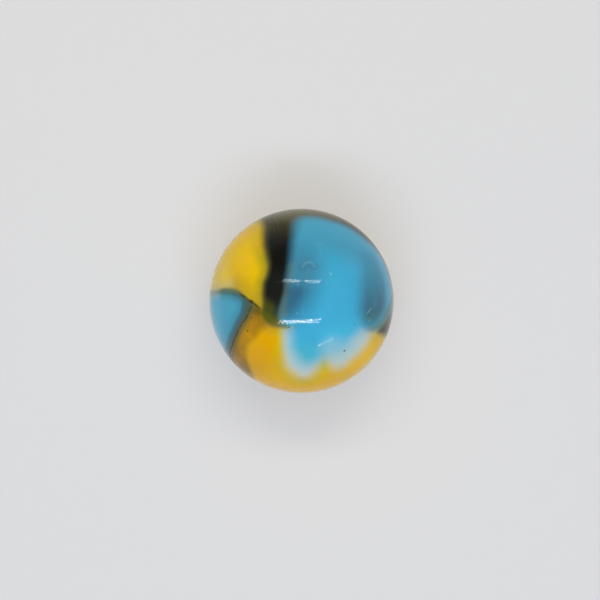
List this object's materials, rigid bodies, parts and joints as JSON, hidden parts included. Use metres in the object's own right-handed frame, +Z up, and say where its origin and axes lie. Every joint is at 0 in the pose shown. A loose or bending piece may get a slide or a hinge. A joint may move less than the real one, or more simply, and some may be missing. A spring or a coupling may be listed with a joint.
{
  "type": "glass marble",
  "caption": "Solid glass ball for games and craft, with folded patches of blue, white, yellow and black glass, a fold crease and small marks of play.",
  "frame": {"origin": "centre of the ball", "axes": "+Z up, out of the side that shows the colour patches best; +X to the right across that side; +Y towards its top"},
  "size_m": [0.016, 0.016, 0.016],
  "materials": {
    "marble_glass": "polished, lightly scuffed"
  },
  "bodies": {
    "root": {"marble": "marble_glass"}
  },
  "joints": []
}
